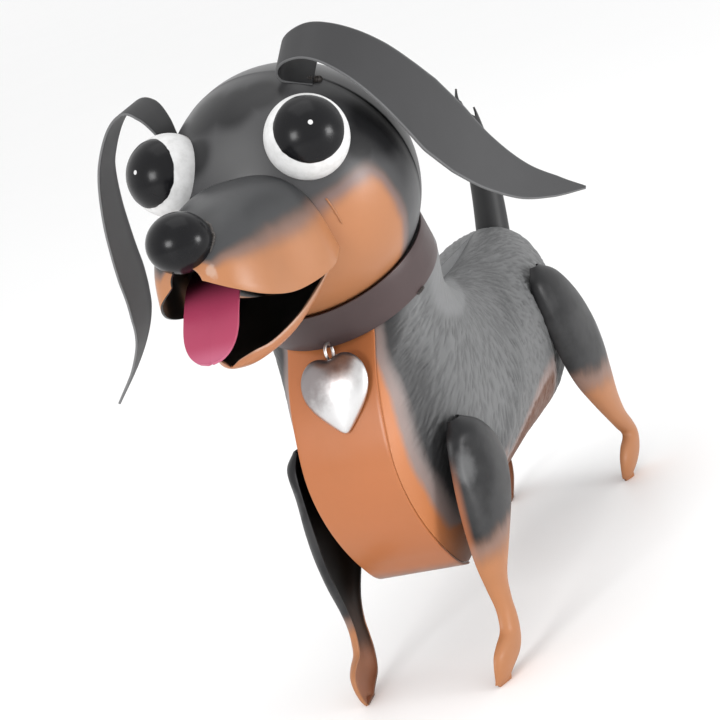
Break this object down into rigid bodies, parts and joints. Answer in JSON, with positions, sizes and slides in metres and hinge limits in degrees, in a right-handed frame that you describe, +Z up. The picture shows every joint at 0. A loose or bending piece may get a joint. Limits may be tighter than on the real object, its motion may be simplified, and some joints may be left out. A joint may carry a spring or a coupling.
{
  "type": "garden dog statue",
  "caption": "Standing dachshund garden ornament of painted sheet metal, with a ball head, long bent ears, open mouth, collar with a heart tag and thin legs.",
  "frame": {"origin": "on the ground, under the middle of the whole box", "axes": "+X the dog's own left, +Y towards its tail, +Z up; the dog faces -Y"},
  "size_m": [0.2712, 0.3862, 0.3385],
  "materials": {
    "fur_grey": "dark grey paint over stamped fur, satin, fading to orange below",
    "head_charcoal": "charcoal airbrushed over orange cheeks, satin",
    "tan_orange": "orange-tan paint, satin",
    "collar_brown": "dark brown-mauve paint, satin",
    "gloss_black": "gloss black paint",
    "eye_white": "gloss white paint with a painted black pupil",
    "tongue_pink": "pink paint, satin",
    "silver": "brushed and clear-coated",
    "ear_grey": "matt dark grey paint"
  },
  "bodies": {
    "root": {"body_left": "fur_grey", "body_right": "fur_grey", "chest_band": "tan_orange", "head_front": "head_charcoal", "head_back": "head_charcoal", "muzzle": "tan_orange", "lower_jaw": "tan_orange", "tongue": "tongue_pink", "nose": "gloss_black", "eye_left": "eye_white", "eye_right": "eye_white", "ear_left": "ear_grey", "ear_right": "ear_grey", "collar": "collar_brown", "tag_ring": "silver", "heart_tag": "silver", "tail": "ear_grey", "leg_front_left": "fur_grey", "leg_front_right": "fur_grey", "leg_hind_left": "fur_grey", "leg_hind_right": "fur_grey"}
  },
  "joints": []
}
